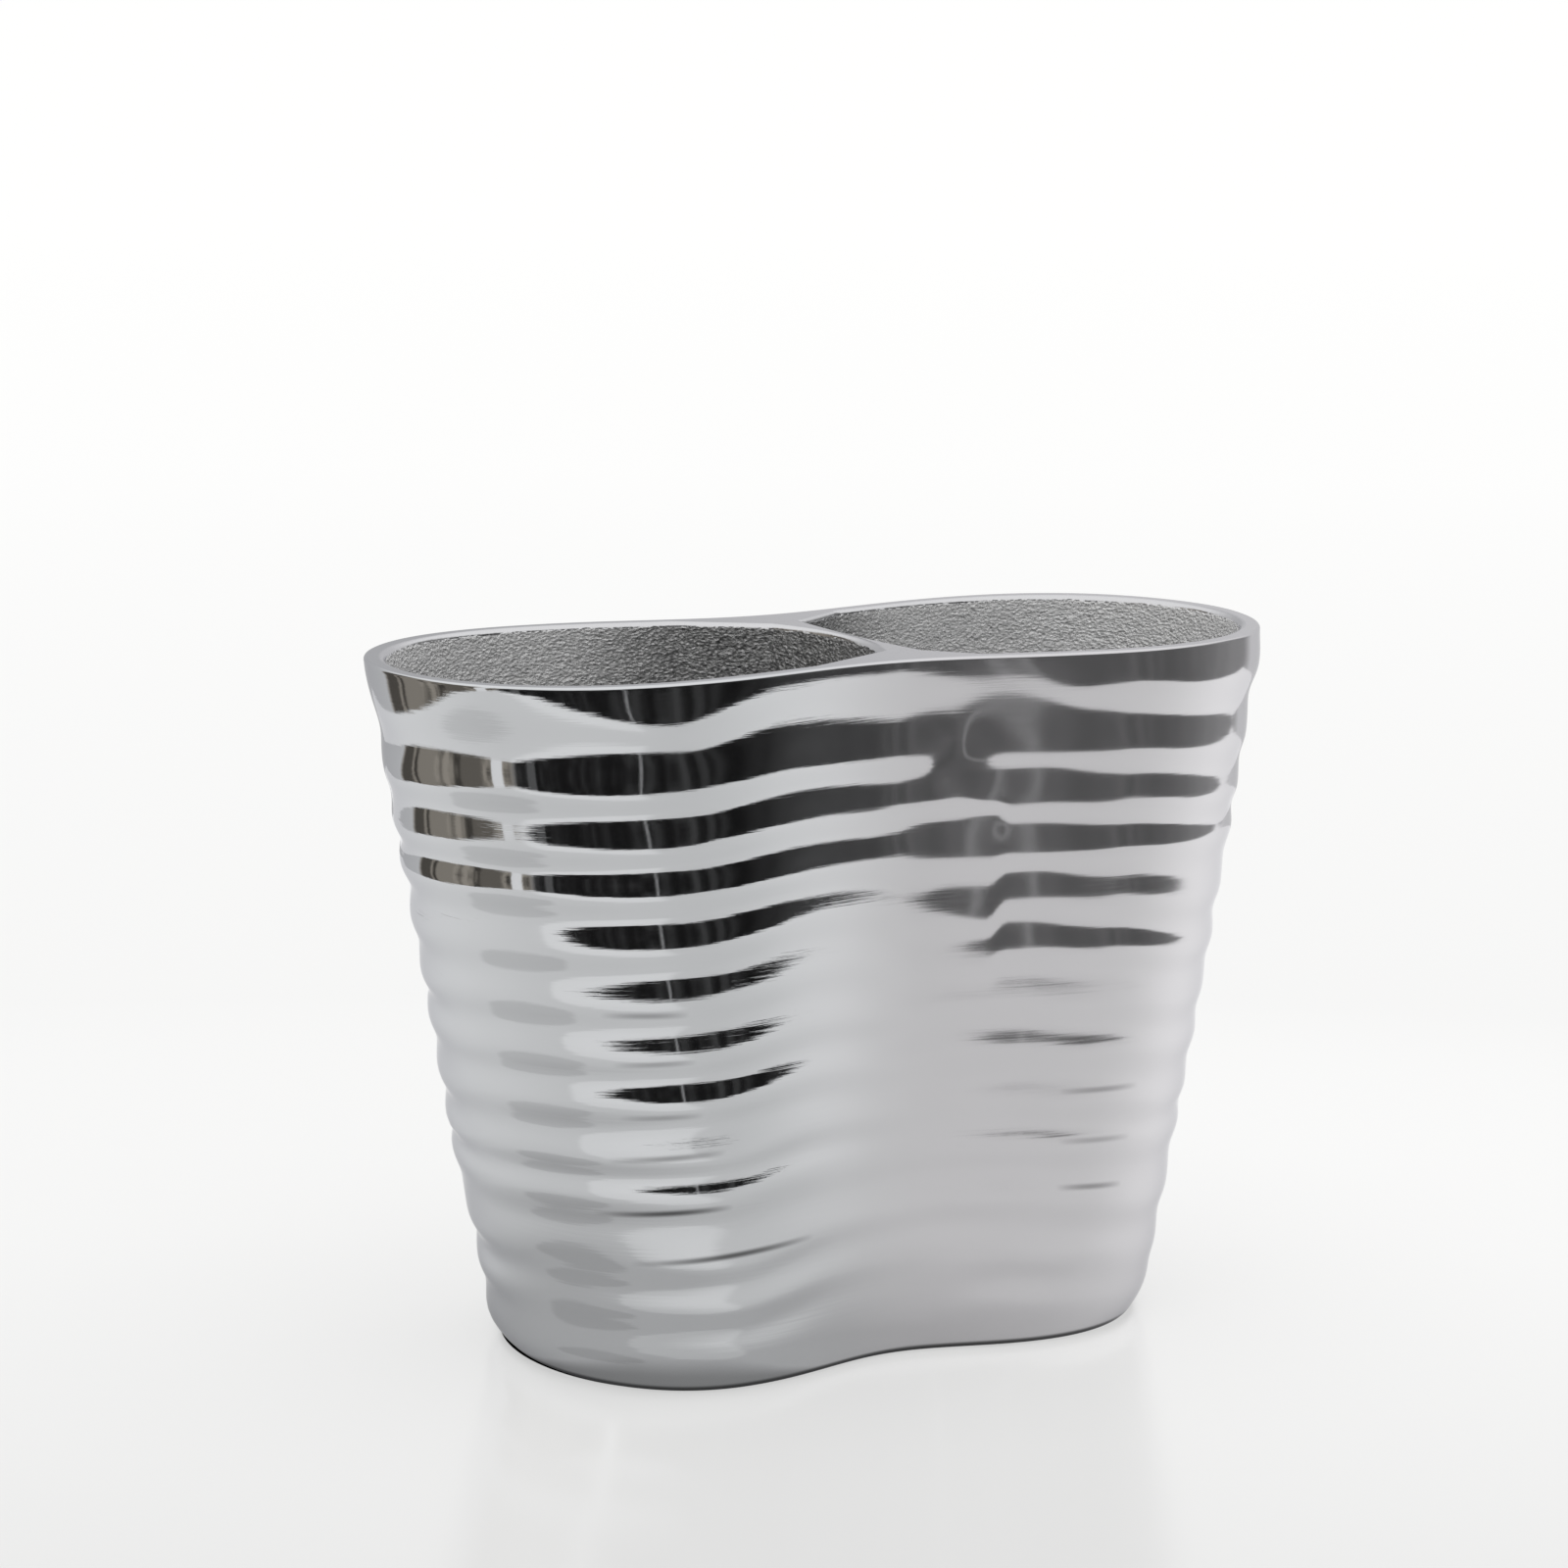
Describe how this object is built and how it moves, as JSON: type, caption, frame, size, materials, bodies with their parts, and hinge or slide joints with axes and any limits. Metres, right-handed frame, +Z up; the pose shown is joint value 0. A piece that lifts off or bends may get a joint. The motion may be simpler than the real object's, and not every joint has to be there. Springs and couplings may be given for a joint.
{
  "type": "two-compartment wine bucket",
  "caption": "Polished cast-aluminium wine and ice bucket with a figure-eight plan, ringed walls that flare at the ends and a curved divider between the bottle side and the ice side.",
  "frame": {"origin": "middle of the base, on the table plane under the foot pads", "axes": "+Z up; +X along the length, towards the ice compartment; the bottle compartment is on the -X side; +Y across the width"},
  "size_m": [0.2428, 0.1012, 0.178],
  "materials": {
    "polished_aluminium": "mirror polished outside with fine buffing marks, rough sand-cast inside",
    "cast_aluminium": "rough sand-cast faces, ground and polished top edge",
    "pad_rubber": "matt"
  },
  "bodies": {
    "root": {"bucket_body": "polished_aluminium", "divider_wall": "cast_aluminium", "foot_pad_ice_end": "pad_rubber", "foot_pad_ice_back": "pad_rubber", "foot_pad_wine_back": "pad_rubber", "foot_pad_wine_end": "pad_rubber", "foot_pad_wine_front": "pad_rubber", "foot_pad_ice_front": "pad_rubber"}
  },
  "joints": []
}
